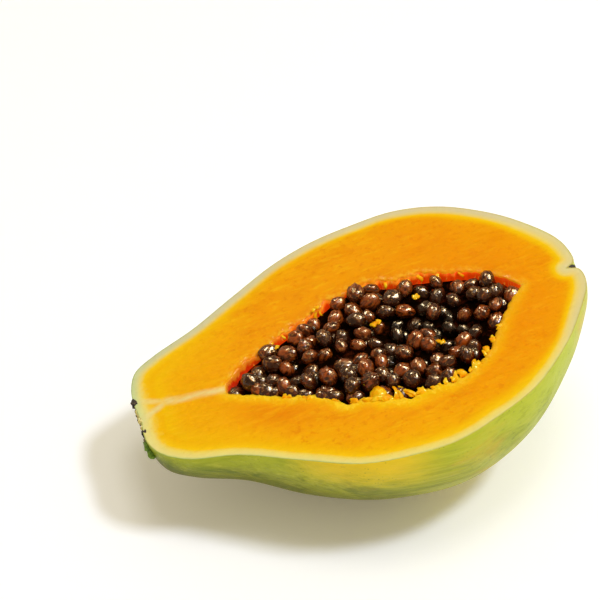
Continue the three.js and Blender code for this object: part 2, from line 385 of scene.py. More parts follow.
def bed_height(x, y):
    lifts = (high * math.exp(-((x - a) ** 2 + (y - b) ** 2) / radius**2) for a, b, radius, high in BED_FORMS)
    return BED_LEVEL + sum(lifts)


def cavity_edge(along):
    """The cavity's edge on the cut face, as far and near distances from the core line."""
    after = clamp(next((i for i, row in enumerate(CAVITY) if row[0] > along), 0), 1, len(CAVITY) - 1)
    low, high = CAVITY[after - 1], CAVITY[after]
    share = clamp((along - low[0]) / (high[0] - low[0]), 0, 1)
    return between((low[1], high[1]), share), between((low[2], high[2]), share)


class Value:
    """The output of a shader node, which can be used in sums."""

    def __init__(self, finish, socket):
        self.finish = finish
        self.socket = socket

    def maths(self, operation, first, second=0):
        return self.finish.node("ShaderNodeMath", {"operation": operation}, {0: first, 1: second})

    def __add__(self, other):
        return self.maths("ADD", self, other)

    def __radd__(self, other):
        return self.maths("ADD", other, self)

    def __sub__(self, other):
        return self.maths("SUBTRACT", self, other)

    def __rsub__(self, other):
        return self.maths("SUBTRACT", other, self)

    def __mul__(self, other):
        return self.maths("MULTIPLY", self, other)

    def __rmul__(self, other):
        return self.maths("MULTIPLY", other, self)

    def __truediv__(self, other):
        return self.maths("DIVIDE", self, other)

    def __rtruediv__(self, other):
        return self.maths("DIVIDE", other, self)

    def __abs__(self):
        return self.maths("ABSOLUTE", self)

    def most(self, other):
        return self.maths("MAXIMUM", self, other)

    def span(self, low, high, to_low=0, to_high=1):
        """Eased from one range to another."""
        sockets = {0: self, 1: low, 2: high, 3: to_low, 4: to_high}
        return self.finish.node("ShaderNodeMapRange", {"interpolation_type": "SMOOTHSTEP"}, sockets)

    def fade(self, low, high):
        """Eased down, from 1 where it is low to 0 where it is high."""
        return self.span(low, high, 1, 0)

    def ramp(self, *stops):
        """A colour for the value, by stops of [place, colour]."""
        return self.finish.node("ShaderNodeValToRGB", {"stops": stops}, {0: self})


class Finish:
    """A material being made: one surface shader and the nodes that feed it."""

    def __init__(self, name, **sockets):
        self.material = bpy.data.materials.new(name)
        self.material.use_nodes = True
        self.tree = self.material.node_tree
        self.surface = self.tree.nodes["Principled BSDF"]
        self.surface_set(**sockets)

    def feed(self, socket, value):
        if isinstance(value, Value):
            self.tree.links.new(value.socket, socket)
        else:
            socket.default_value = value

    def node(self, kind, settings=None, sockets=None, output=0):
        """Adds a node: its settings first, then the values or links of its sockets."""
        made = self.tree.nodes.new(kind)
        for name, value in (settings or {}).items():
            if name == "stops":
                self.set_stops(made.color_ramp.elements, value)
            else:
                setattr(made, name, value)
        for key, value in (sockets or {}).items():
            self.feed(made.inputs[key], value)
        return Value(self, made.outputs[output])

    def set_stops(self, elements, stops):
        while len(elements) < len(stops):
            elements.new(1)
        for element, stop in zip(elements, stops):
            element.position, element.color = stop

    def surface_set(self, **sockets):
        for name, value in sockets.items():
            self.feed(self.surface.inputs[name.replace("_", " ")], value)

    def measure(self, name, output="Fac"):
        return self.node("ShaderNodeAttribute", {"attribute_name": name}, output=output)

    def place(self, name=None):
        """The surface's place: its own vector measure, or its place in the object."""
        if name:
            return self.measure(name, "Vector")
        return self.node("ShaderNodeTexCoord", output="Object")

    def scaled(self, place, scale):
        return self.node("ShaderNodeVectorMath", {"operation": "MULTIPLY"}, {0: place, 1: scale})

    def noise(self, place, scale, detail=3, roughness=0.5, distortion=0):
        """Cloudy noise, at one scale or at one for each axis."""
        if isinstance(scale, tuple):
            place, scale = self.scaled(place, scale), 1
        sockets = {"Vector": place, "Scale": scale, "Detail": detail}
        sockets |= {"Roughness": roughness, "Distortion": distortion}
        return self.node("ShaderNodeTexNoise", None, sockets, "Fac")

    def cells(self, place, scale):
        return self.node("ShaderNodeTexVoronoi", None, {"Vector": place, "Scale": scale}, "Distance")

    def mix(self, share, first, second):
        return self.node("ShaderNodeMix", {"data_type": "RGBA"}, {0: share, 6: first, 7: second}, 2)

    def coated(self, colour, *coats):
        """A colour under coats of others, each as [share, colour]."""
        for share, coat in coats:
            colour = self.mix(share, colour, coat)
        return colour

    def bump(self, height, depth, below=None):
        sockets = {"Height": height, "Strength": 1, "Distance": depth}
        if below:
            sockets["Normal"] = below
        return self.node("ShaderNodeBump", None, sockets)


def grid(bm, across, along, place):
    """A grid whose points lie at place(u, v), with u and v from 0 to 1."""
    made = bmesh.ops.create_grid(bm, x_segments=across, y_segments=along, size=0.5)["verts"]
    for vert in made:
        vert.co = place(vert.co.x + 0.5, vert.co.y + 0.5)
    return made


def placed(name, data):
    """A new object in the scene."""
    made = bpy.data.objects.new(name, data)
    bpy.context.scene.collection.objects.link(made)
    return made


def finished(name, bm, materials, replaced=None):
    """Turns a closed bmesh into a piece that rides on the root."""
    bmesh.ops.recalc_face_normals(bm, faces=bm.faces[:])
    mesh = bpy.data.meshes.new(name)
    bm.to_mesh(mesh)
    bm.free()
    mesh.polygons.foreach_set("use_smooth", [True] * len(mesh.polygons))
    for material in materials:
        mesh.materials.append(material)
    piece = placed(name, mesh)
    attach(piece, "root")
    if replaced:
        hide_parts(replaced)
    return piece


def peel_finish(settings):
    """Waxy skin: dark green at the stalk, fresher green to the blossom end, warm yellow in patches."""
    finish = Finish("papaya peel", Subsurface_Weight=0.05, Subsurface_Scale=0.003, Coat_Roughness=0.25)
    finish.surface_set(Subsurface_Radius=(1, 0.6, 0.2), Specular_IOR_Level=0.12)
    along, under = finish.measure("along"), finish.measure("under")
    place = finish.place()
    streaks = finish.noise(place, (16, 130, 130), 6, 0.68, 0.5)
    hairs = finish.noise(place, (45, 480, 480), 4, 0.65, 0.3)
    clouds = finish.noise(place, 30, 4, 0.6)
    green = along.ramp(
        (0, tint(84, 98, 6)),
        (0.12, tint(132, 140, 8)),
        (0.35, tint(158, 162, 16)),
        (0.6, tint(172, 174, 20)),
        (0.85, tint(184, 196, 60)),
        (1, tint(200, 206, 96)),
    )
    side = along.fade(0.8, 0.96)
    dark = streaks.span(0.46, 0.64) * side
    ripe = (clouds + streaks * 0.4 + along * 0.2).span(0.86, 1.1)
    pale = finish.noise(place, (40, 160, 160), 4, 0.7).span(0.54, 0.72)
    # The peel is lighter toward the cut edge and darker underneath: partly its ripening colour, partly
    # painted light and painted shade from the floor below.
    sway = under + (streaks - 0.5) * 0.22 + (clouds - 0.5) * 0.12
    upper = sway.fade(0, 0.26)
    belt = abs(along - 0.42 + (clouds - 0.5) * 0.08).fade(0.05, 0.18)
    lower = sway.span(0.13, 0.42) * along.span(0.42, 0.64, 0.75, 0.05)
    specks = finish.cells(place, 640).fade(0.1, 0.24)
    speck = specks * finish.noise(place, 90, 2).span(0.45, 0.65)
    scuffs = finish.noise(place, (60, 240, 240), 5, 0.7).span(0.62, 0.74)
    colour = finish.coated(
        green,
        (dark * along.span(0, 1, 0.75, 0.15), tint(88, 110, 8)),
        (hairs.span(0.52, 0.68) * side * 0.4, tint(204, 196, 66)),
        (hairs.fade(0.34, 0.48) * side * 0.4, tint(84, 98, 14)),
        (ripe * 0.6, settings.ripe_colour[:]),
        (pale * 0.25, tint(204, 206, 84)),
        # Painted light and shade: lighter and yellower toward the cut edge, with the yellow belt only there,
        # and darker underneath.
        (upper * 0.5, tint(196, 204, 40)),
        (upper * belt * 0.75, tint(252, 206, 8)),
        (lower, tint(86, 88, 6)),
        (speck * 0.5, tint(88, 104, 20)),
        (scuffs * 0.45, tint(150, 112, 40)),
    )
    pits = finish.noise(place, 700, 3, 0.6)
    finish.surface_set(
        Base_Color=colour,
        Roughness=streaks.span(0.3, 0.7, 0.36, 0.5),
        Coat_Weight=clouds.span(0.4, 0.65, 0.02, 0.1),
        Normal=finish.bump(pits + hairs, 0.00012, finish.bump(clouds + streaks * 0.3, 0.0009)),
    )
    return finish.material


def flesh_finish(settings):
    """The cut face: peel line, pale rind, yellow then deep orange flesh, and the pale veins of the stalk."""
    finish = Finish("papaya flesh", Subsurface_Weight=0.15, Subsurface_Scale=0.0008, Coat_Roughness=0.2)
    finish.surface_set(Subsurface_Radius=(1, 0.45, 0.12), Specular_IOR_Level=0.01)
    rim, hollow, along, across = (finish.measure(name) for name in ("rim", "hollow", "along", "across"))
    place = finish.place()
    broad = finish.noise(place, 45, 3, 0.55)
    fine = finish.noise(place, 420, 4, 0.6)
    fibres = finish.noise(place, (120, 520, 300), 5, 0.62, 0.5)
    neck = along.fade(0.03, 0.22)
    far_end = along.span(0.5, 0.9) * across.span(0, 0.15)
    blossom = along.span(0.88, 1) + far_end * 0.7
    depth = (rim + (broad - 0.5) * 1.6 + (fine - 0.5) * 0.5) / (1 + neck * 0.25 + blossom * 0.35)
    quick = across.span(0.02, 0.2) * along.span(0.2, 0.4)
    quick = quick * along.fade(0.72, 0.9)
    quick = quick.most(along.span(0.76, 0.92) * 0.75)
    depth = depth + (depth - 3.4).most(0) * quick * 1.6
    flesh = (depth / 26).ramp(
        (0, tint(204, 208, 120)),
        (0.03, tint(233, 215, 126)),
        (0.09, tint(240, 212, 96)),
        (0.13, tint(246, 196, 14)),
        (0.21, tint(243, 182, 2)),
        (0.4, tint(243, 167, 2)),
        (1, settings.flesh_colour[:]),
    )
    clouds = finish.noise(place, (60, 130, 100), 4, 0.6)
    inner = depth.span(5, 8)
    patch = abs(across + along * 0.5 - 0.03).fade(0, 0.07)
    patch = patch * abs(along - 0.26).fade(0.02, 0.12)
    near_hollow = (hollow + (broad - 0.5) * 5 + (fibres - 0.5) * 3).fade(0.5, 6)
    near_side = across.fade(-0.02, 0.04)
    far_lip = near_hollow * (1 - near_side) * along.span(0.22, 0.4)
    torn = finish.noise(place, 520, 3, 0.6).span(0.46, 0.66)
    torn = torn * hollow.fade(0.8, 4.5)
    frayed = finish.noise(place, (500, 260, 260), 4, 0.7, 0.6)
    fringe = (hollow + (frayed - 0.5) * 14).fade(0.2, 2.4)
    fringe = fringe * near_side.most(along.span(0.4, 0.56, 0.15, 1))
    halo = (hollow + (fibres - 0.5) * 3).fade(0.2, 1.5) * (1 - near_side)
    yellow = neck * depth.span(4, 15, 1, 0.1)
    sway = (finish.noise(place, (70, 70, 10), 3) - 0.5) * 0.014
    main = abs(across + along * 0.205 - 0.048 + sway).fade(0.001, 0.017)
    main = main * along.fade(0.19, 0.23) * along.span(0.045, 0.08)
    fork = along.fade(0.05, 0.09)
    upper = abs(across + along * 0.51 - 0.0685 + sway).fade(0.001, 0.014) * fork * 0.8
    lower = abs(across - along * 0.51 + 0.0005 + sway).fade(0.001, 0.016) * fork
    patchy = fibres.span(0.3, 0.6, 0.5, 1)
    veins = main.most(upper).most(lower) * patchy * hollow.span(0, 0.6)
    stalk = (along + fine * 0.03).fade(0.02, 0.06)
    fresh = rim.fade(0.5, 3.5) * along.fade(0.2, 0.5)
    beige = across.span(0.05, 0.25).most(along.span(0.86, 0.96) * 0.6)
    far_rind = rim.fade(1.5, 4.5) * beige
    line = (rim + (fine - 0.5) * 0.2).fade(0.1, 0.5)
    flesh = finish.coated(
        flesh,
        (clouds.span(0.48, 0.7) * inner * 0.45, tint(230, 134, 0)),
        (fibres.span(0.52, 0.68) * inner * 0.5, tint(246, 186, 20)),
        (fine.fade(0.32, 0.46) * inner * 0.35, tint(222, 110, 0)),
        (patch * fibres.span(0.3, 0.6) * 0.7, tint(232, 124, 0)),
        (near_hollow * near_side * 0.9, tint(246, 194, 2)),
        (far_lip * 0.45, tint(232, 128, 2)),
        (torn * 0.5, tint(250, 204, 50)),
        (fringe * (0.3 + near_side * 0.4), tint(254, 208, 44)),
        (halo * frayed.span(0.4, 0.6, 0.7, 0.2), tint(232, 88, 4)),
        (along.fade(0.12, 0.32) * inner * 0.6, tint(244, 176, 4)),
        (along.span(0.58, 0.78) * inner * 0.4, tint(238, 136, 2)),
        (yellow * inner * 0.9, tint(242, 194, 4)),
        (veins * 0.85, tint(236, 214, 140)),
        (stalk * 0.7, tint(236, 220, 136)),
        (fresh * across.span(-0.05, 0.1, 0.08, 0.85), tint(196, 212, 148)),
        (far_rind * 0.75, tint(214, 198, 158)),
        (line * 0.7, along.ramp((0.1, tint(120, 140, 40)), (0.5, tint(190, 164, 40)))),
    )
    juice = fine * 0.5 + fibres + finish.cells(place, 560) * 0.4
    finish.surface_set(
        Base_Color=flesh,
        Roughness=fibres.span(0.35, 0.7, 0.34, 0.52),
        Coat_Weight=hollow.span(0.3, 3, 0.1, 0) * fine.span(0.45, 0.6),
        Normal=finish.bump(juice + torn * 0.2, 0.0004),
    )
    return finish.material


def wall_finish():
    """The cavity's wall: pale torn flesh along its edge, then wet and deep orange-red with pale threads."""
    finish = Finish("papaya cavity wall", Subsurface_Weight=0.4, Subsurface_Scale=0.001, Coat_Roughness=0.15)
    # The wall glows with its own colour: painted light standing in for light that shines through the flesh.
    finish.surface_set(Subsurface_Radius=(1, 0.35, 0.08), Specular_IOR_Level=0.1, Emission_Strength=0.4)
    place = finish.place()
    along = finish.measure("along")
    depth = finish.measure("down") * DEEPEST
    threads = finish.noise(place, (900, 500, 200), 4, 0.7, 0.8)
    clouds = finish.noise(place, 160, 3)
    torn = (depth + (threads - 0.5) * 4).fade(0.8, 2.4)
    torn = torn * along.span(0.66, 0.78, 0.85, 0.1)
    torn = torn * finish.measure("across").span(-0.02, 0.04, 1, 0.45)
    colour = finish.coated(
        tint(236, 42, 1),
        (clouds, tint(246, 82, 2)),
        (along.span(0.2, 0.4, 0.85, 0), tint(176, 22, 2)),
        (torn, tint(255, 184, 40)),
        (threads.span(0.56, 0.7) * 0.5, tint(255, 200, 70)),
    )
    finish.surface_set(
        Base_Color=colour,
        # Painted light: the wall emits its own colour.
        Emission_Color=colour,
        Roughness=0.35,
        Coat_Weight=clouds.span(0.4, 0.6, 0.1, 0.4),
        Normal=finish.bump(threads + clouds, 0.0006),
    )
    return finish.material


def lip_relief(x, y, rim, hollow):
    """How far the cut face stands up: low bumps, and a torn and sunken edge along the cavity."""
    place = Vector((x, y, 0))
    bumps = noise.noise(place * 0.09) * 0.25 + noise.noise(place * 0.5) * 0.07
    torn = noise.noise(place * 0.7) * 0.35 * math.exp(-hollow / 1.8)
    drop = 0.25 + 0.35 * smooth_step(3, -3, y)
    return bumps * smooth_step(0, 3, rim) + torn - drop * math.exp(-hollow / 0.9)


def build_half(settings):
    """The peel, the cut face and the cavity's wall, joined into one closed skin."""
    skin, cavity = Profile(SKIN), Profile(CAVITY)
    bm = bmesh.new()
    measures = ("rim", "hollow", "along", "across", "down", "under")
    layers = {name: bm.verts.layers.float.new(name) for name in measures}

    def sheet(across, along, place, material):
        made = grid(bm, across, along, place)
        for face in {face for vert in made for face in vert.link_faces}:
            face.material_index = material
        return made

    def outline(profile, share, wall):
        """The skin's or the cavity's edge on the cut face, round from the stalk end by the far side."""
        angle = 0 if share <= 0.5 else math.pi
        t = profile.t_at(share * 2 if share <= 0.5 else 2 - share * 2)
        return wall_place(profile, t, angle, settings.edge_wander) if wall else skin_place(profile, t, angle)

    def cut_place(u, v):
        outer, inner = outline(skin, u, False), outline(cavity, u, True)
        return outer.lerp(inner, v**CUT_POWER)

    def wall_at(u, v):
        return wall_place(cavity, cavity.t_at(u), math.pi * v, settings.edge_wander)

    sheet(ALONG_STEPS, BACK_STEPS, lambda u, v: skin_place(skin, skin.t_at(u), math.pi * v), 0)
    cut = sheet(2 * ALONG_STEPS, CUT_STEPS, cut_place, 1)
    between_edges = [vert for vert in cut if not vert.is_boundary]
    for _ in range(CUT_SMOOTHINGS):
        bmesh.ops.smooth_vert(bm, verts=between_edges, factor=0.5, use_axis_x=True, use_axis_y=True)
    wall = sheet(ALONG_STEPS, WALL_STEPS, wall_at, 2)
    trees = {}
    for name, profile, is_wall in (("rim", skin, False), ("hollow", cavity, True)):
        trees[name] = kdtree.KDTree(EDGE_SAMPLES)
        for i in range(EDGE_SAMPLES):
            trees[name].insert(outline(profile, i / EDGE_SAMPLES, is_wall), i)
        trees[name].balance()
    length = SKIN[-1][0]
    for vert in bm.verts:
        vert[layers["along"]] = vert.co.x / length
        vert[layers["across"]] = vert.co.y / length
        vert[layers["down"]] = -vert.co.z / DEEPEST
        vert[layers["under"]] = math.atan2(-vert.co.z, abs(vert.co.y) + 0.01) * 2 / math.pi
    for vert in wall:
        x, y, z = vert.co
        if z < CUT_LEVEL:
            shove = noise.noise(vert.co * 0.45) * 0.7 + noise.noise(vert.co * 1.3) * 0.3
            shove *= smooth_step(0.3, 3, -z)
            vert.co.z += lip_relief(x, y, 100, 0) * math.exp(z / 1.5) + shove * 0.6
            vert.co.y += shove * 0.5
    for vert in bm.verts:
        if vert.co.z > CUT_LEVEL:
            for name, tree in trees.items():
                vert[layers[name]] = tree.find(vert.co)[2]
    for vert in bm.verts:
        if vert.co.z > CUT_LEVEL and vert[layers["rim"]] > 0.01:
            vert.co.z += lip_relief(vert.co.x, vert.co.y, vert[layers["rim"]], vert[layers["hollow"]])
    for vert in bm.verts:
        vert.co = to_row(vert.co)
        vert.co.z = max(vert.co.z, 0)
    bmesh.ops.remove_doubles(bm, verts=bm.verts[:], dist=MERGE_DISTANCE)
    for edge in bm.edges:
        if len({face.material_index for face in edge.link_faces}) > 1:
            edge.smooth = 0 not in {face.material_index for face in edge.link_faces}
    materials = [peel_finish(settings), flesh_finish(settings), wall_finish()]
    return finished("papaya_half", bm, materials, "fruit_half")


def scar_finish():
    """Dry cork, dark with cracks, with pale torn fibre and a green end."""
    finish = Finish("papaya stalk scar", Specular_IOR_Level=0.3)
    cracks = finish.noise(finish.place(), 900, 5, 0.7)
    dark = cracks.ramp((0.3, tint(8, 4, 4)), (0.54, tint(32, 19, 14)), (0.72, tint(116, 90, 58)))
    pale = cracks.ramp((0.3, tint(150, 120, 40)), (0.5, tint(232, 212, 120)), (0.7, tint(250, 244, 200)))
    green = cracks.ramp((0.3, tint(56, 90, 16)), (0.6, tint(124, 158, 48)))
    tone = finish.measure("tone")
    colour = finish.coated(dark, (tone.span(0.2, 0.5), pale), (tone.span(0.6, 0.9), green))
    finish.surface_set(Base_Color=colour, Roughness=0.8, Normal=finish.bump(cracks, 0.0006))
    return finish.material


def build_scar():
    """The torn bits round the broken stalk, at and below the cut face."""
    draw = draws(RANDOM_SEED + 2)
    bm = bmesh.new()
    tone_layer = bm.verts.layers.float.new("tone")
    for across, down, size, tone in SCAR_BITS:
        turn = Matrix.Rotation(next(draw) * math.pi, 3, "Z") @ Matrix.Rotation(next(draw) * math.pi, 3, "X")
        made = bmesh.ops.create_icosphere(bm, subdivisions=3, radius=size)["verts"]
        middle = Vector((0.6, across, -down))
        for vert in made:
            coarse, fine = (noise.noise(vert.co * scale + middle) for scale in (0.9, 2.4))
            place = turn @ (vert.co * (1 + 0.45 * coarse + 0.25 * fine))
            place.x *= 0.7
            place += middle
            place.z = min(place.z, 0.25 + 0.2 * noise.noise(place))
            vert[tone_layer] = tone
            vert.co = to_row(place)
    return finished("stalk_scar", bm, [scar_finish()])


def build_flower_remnant():
    """The dry black remnant of the flower, deep in the notch of the blossom end."""
    finish = Finish("papaya flower remnant")
    cracks = finish.noise(finish.place(), 1400, 4, 0.7)
    colour = finish.mix(cracks, tint(8, 5, 3), tint(34, 22, 13))
    finish.surface_set(Base_Color=colour, Roughness=0.9, Normal=finish.bump(cracks, 0.0004))
    bm = bmesh.new()
    made = bmesh.ops.create_icosphere(bm, subdivisions=3, radius=1)["verts"]
    for vert in made:
        rough = vert.co * (1 + 0.3 * noise.noise(vert.co * 1.6))
        place = Vector([middle + x * size for middle, x, size in zip(FLOWER_PLACE, rough, FLOWER_SIZE)])
        place.z = min(place.z, CUT_LEVEL)
        vert.co = to_row(place)
    return finished("flower_remnant", bm, [finish.material])


def pulp_finish(settings):
    """Torn, moist pulp: clear yellow-orange with pale threads."""
    finish = Finish("papaya pulp", Subsurface_Weight=0.3, Subsurface_Scale=0.0005, Coat_Roughness=0.15)
    finish.surface_set(Subsurface_Radius=(1, 0.5, 0.12), Specular_IOR_Level=0.03)
    threads = finish.noise(finish.place(), 420, 4, 0.65)
    colour = threads.ramp((0.34, tint(244, 150, 2)), (0.5, settings.colour[:]), (0.66, tint(255, 214, 34)))
    finish.surface_set(
        Base_Color=colour,
        Roughness=0.4,
        Coat_Weight=threads.span(0.5, 0.6, 0, 0.25),
        Normal=finish.bump(threads, 0.0005),
    )
    return finish.material


def tuft_place(along, side, reach, lean=0):
    """Where a tuft of pulp is rooted in the cavity's edge, and where it ends."""
    far, near = cavity_edge(along)
    root = Vector((along, far + 1.2 if side > 0 else -near - 1.2, -0.9))
    fall = 1.2 + 0.5 * reach if side > 0 else 0.3
    return root, Vector((along + lean, root.y - side * (reach + 1), -fall))


def strand(bm, root, tip, thick, thin, arch, phase):
    """A soft lumpy strand from root to tip that arches up and twists a little."""
    axis = tip - root
    side = axis.cross(Vector((0, 0, 1))).normalized()
    up = side.cross(axis).normalized()

    def place(u, v):
        radius = (thick + (thin - thick) * v) * max(1 - (2 * v - 1) ** 6, 0) ** 0.5
        radius *= 1 + 0.15 * math.sin(9 * v + phase)
        angle = 2 * math.pi * u
        lumps = noise.noise(Vector((phase + math.cos(angle), v * 2.5, math.sin(angle))))
        bend = up * (arch * 4 * v * (1 - v)) + side * 0.5 * math.sin(4 * v + phase) * v
        outward = side * 1.2 * math.cos(angle) + up * 0.45 * math.sin(angle)
        return root + axis * v + bend + outward * radius * (1 + 0.4 * lumps)

    grid(bm, 10, 8, place)


def build_pulp(settings):
    """Torn tufts and threads of pulp at the cavity's edge, and scraps on the seeds."""
    bm = bmesh.new()
    draw = draws(RANDOM_SEED + 7)
    for along, side, radius, reach, lean in TUFTS:
        root, tip = tuft_place(along, side, reach, lean)
        girth = radius * (0.8 + 0.4 * next(draw)) * (0.6 if side > 0 else 1)
        thin = girth * (0.25 if reach > LONG_REACH else 0.7)
        strand(bm, root, tip, girth * 1.2, thin, 0.7, 10 * next(draw))
        if reach > LONG_REACH:
            root, tip = tuft_place(along + 1.2, side, reach * 0.7, lean - 0.8)
            strand(bm, root, tip, radius * 0.8, radius * 0.25, 1, 10 * next(draw))
    for i in range(settings.threads):
        along = between(THREAD_SPAN, (i + next(draw)) / settings.threads)
        side = 1 if next(draw) < 0.4 else -1
        root, tip = tuft_place(along, side, 0.6 + 1.6 * next(draw), 2 * (next(draw) - 0.5))
        strand(bm, root, tip, 0.4 + 0.8 * next(draw), 0.25, 0.5, 10 * next(draw))
    for along, across, size in SCRAPS:
        height = bed_height(along, across) + 2.4
        for _ in range(2):
            turn = 2 * math.pi * next(draw)
            root = Vector((along, across, height))
            tip = root + Vector((math.cos(turn), math.sin(turn), -0.2)) * size * 1.5
            strand(bm, root, tip, size * 0.6, size * 0.4, 0.2, 10 * next(draw))
    strand(bm, Vector(LUMP_ENDS[0]), Vector(LUMP_ENDS[1]), *LUMP_THICKNESS, 0.6, 3)
    for vert in bm.verts:
        vert.co = to_row(vert.co)
    bmesh.ops.remove_doubles(bm, verts=bm.verts[:], dist=MERGE_DISTANCE)
    return finished("pulp", bm, [pulp_finish(settings)])


def seed_finish(settings):
    """Dark wrinkled seeds in a clear jelly coat, each a little lighter or darker, with painted shade below
    and painted sheen.
    """
    finish = Finish("papaya seed", Coat_Roughness=0.12, Coat_IOR=1.45, Specular_IOR_Level=0.25)
    finish.surface_set(Coat_Tint=(1, 0.82, 0.6, 1), Specular_Tint=(1, 0.78, 0.5, 1))
    own = finish.place("seed_place")
    tone = finish.measure("tone")
    wrinkles = finish.noise(finish.scaled(own, (1, 0.35, 1)), 0.8, 3, 0.5, 0.9)
    creases = finish.cells(finish.scaled(own, (1, 0.4, 1)), 0.7).span(0.1, 0.6)
    clear = finish.noise(own, 0.4, 2)
    # low is painted shade: each seed is darker on its lower side, and seeds deep in the cavity are darker,
    # with less coat.
    low = finish.measure("low")
    # The colour follows the relief: darker in the creases and hollows and lighter on the ridges, partly the
    # coat's own mottling, partly painted shade and painted light.
    colour = (wrinkles * 0.6 + tone * 0.2 + creases * 0.1 - low * 0.28 + 0.14).ramp(
        (0.36, settings.dark_colour[:]),
        (0.6, settings.brown_colour[:]),
        (0.8, tint(162, 74, 14)),
    )
    # Pale patches laid over the coat are painted sheen of the wet jelly, with fewer on the lower sides.
    painted_sheen = (finish.noise(own, 0.9, 3, 0.6) - low * 0.2).span(0.57, 0.66)
    colour = finish.mix(painted_sheen * 0.5, colour, tint(176, 124, 58))
    finish.surface_set(
        Base_Color=colour,
        Roughness=wrinkles.span(0.35, 0.65, 0.16, 0.34),
        Coat_Weight=(clear - low * 0.12).span(0.32, 0.5, 0.1, 0.65),
        Normal=finish.bump(wrinkles + creases * 0.5, 0.00026),
    )
    return finish.material


def any_turns(draw):
    return [next(draw) * 2 * math.pi for _ in range(3)]


def seed_places():
    """Where each seed lies: a staggered grid, shaken, then pushed apart, as in the part's source."""
    draw = draws(RANDOM_SEED)
    seeds = []
    row_pitch = SEED_PITCH * math.sin(math.pi / 3)
    start, end = CAVITY[0][0], CAVITY[-1][0]
    for row in range(-SEED_ROWS, SEED_ROWS + 1):
        column = 0
        while column * SEED_PITCH < end - start:
            stagger = 0.5 if row % 2 else 0
            x = start + 3 + (column + stagger) * SEED_PITCH + SEED_JITTER * (2 * next(draw) - 1)
            y = row * row_pitch + SEED_JITTER * (2 * next(draw) - 1)
            lift = next(draw)
            length = between(SEED_LENGTH, next(draw))
            turns = any_turns(draw)
            far, near = cavity_edge(x)
            if SEED_FROM_EDGE - near < y < far - SEED_FROM_EDGE and x < end - 2:
                seeds.append({"x": x, "y": y, "lift": lift, "length": length, "turns": turns})
            column += 1
    for _ in range(SETTLE_ROUNDS):
        for i, a in enumerate(seeds):
            for b in seeds[i + 1 :]:
                push_apart(a, b)
            far, near = cavity_edge(a["x"])
            a["y"] = clamp(a["y"], min(SEED_FROM_EDGE - near, 0), max(far - SEED_FROM_EDGE, 0))
            a["x"] = clamp(a["x"], start + 3.5, end - 4)
    for seed in seeds:
        seed["z"] = bed_height(seed["x"], seed["y"]) + SEED_LIFT * (2 * seed["lift"] - 1)
    return seeds


def push_apart(a, b):
    apart = math.hypot(b["x"] - a["x"], b["y"] - a["y"], (b["lift"] - a["lift"]) * 2 * SEED_LIFT)
    wanted = SEED_SPACING * (a["length"] + b["length"]) / 2
    if apart >= wanted or apart == 0:
        return
    push = (wanted - apart) / apart / 4
    a["x"] -= (b["x"] - a["x"]) * push
    a["y"] -= (b["y"] - a["y"]) * push
    b["x"] += (b["x"] - a["x"]) * push
    b["y"] += (b["y"] - a["y"]) * push


def add_seed(bm, layers, place, length, turns, tone, subdivisions):
    """One egg-shaped seed, a little wrinkled."""
    made = bmesh.ops.create_icosphere(bm, subdivisions=subdivisions, radius=length / 2)["verts"]
    first, second, third = (Matrix.Rotation(angle, 3, axis) for angle, axis in zip(turns, "XYZ"))
    turn = third @ second @ first
    shift = Vector((tone * 31, turns[0] * 7, turns[1] * 5))
    for vert in made:
        own = vert.co.copy()
        egg = 1 - 0.07 * own.y / (length / 2)
        own.x *= (SEED_SLIMNESS + 0.1 * math.sin(50 * tone)) * egg
        own.z *= (SEED_SLIMNESS - 0.1 * math.sin(50 * tone)) * egg
        folds = abs(noise.noise(Vector((own.x, own.y * 0.35, own.z)) * 0.9 + shift))
        lumps = 0.14 * noise.noise(own * 0.5 + shift) + 0.05 * noise.noise(own * 1.4 + shift)
        own *= 1 + lumps - 0.16 * folds
        vert[layers["seed_place"]] = own + shift
        vert[layers["tone"]] = tone
        turned = turn @ own
        # The measure low is painted shade: it grows toward each seed's lower side and for seeds lying deep in
        # the cavity.
        vert[layers["low"]] = smooth_step(0.5, -0.7, 2 * turned.z / length) + smooth_step(-3, -6.5, place.z)
        vert.co = to_row(turned + place)


def build_seeds(settings):
    """All the loose seeds that show, a lower layer between them, and a row along the near edge."""
    bm = bmesh.new()
    layers = {
        "seed_place": bm.verts.layers.float_vector.new("seed_place"),
        "tone": bm.verts.layers.float.new("tone"),
        # low carries painted shade on the seeds' lower sides and on the deep seeds.
        "low": bm.verts.layers.float.new("low"),
    }
    draw = draws(RANDOM_SEED + 3)
    seeds = seed_places()
    for seed in seeds:
        place = Vector((seed["x"], seed["y"], seed["z"]))
        add_seed(bm, layers, place, seed["length"], seed["turns"], next(draw), 3)
    for seed in seeds[::2]:
        place = Vector([seed[axis] + shift for axis, shift in zip("xyz", LOWER_SHIFT)])
        far, near = cavity_edge(place.x)
        if LOWER_FROM_EDGE - near < place.y < far - LOWER_FROM_EDGE:
            turns = any_turns(draw)
            # A tone below zero makes the lower layer darkest: painted shade for the seeds lying under the
            # others.
            add_seed(bm, layers, place, seed["length"] * 0.95, turns, -next(draw), 2)
    for i in range(LIP_SEEDS):
        along = between(LIP_SEED_SPAN, (i + 0.4 * next(draw)) / LIP_SEEDS)
        near = cavity_edge(along)[1]
        place = Vector((along, 2.7 - near, bed_height(along, -near) - 0.6 + next(draw)))
        turns = any_turns(draw)
        add_seed(bm, layers, place, between(SEED_LENGTH, next(draw)) * 0.9, turns, next(draw), 3)
    return finished("papaya_seeds", bm, [seed_finish(settings)], "seeds")


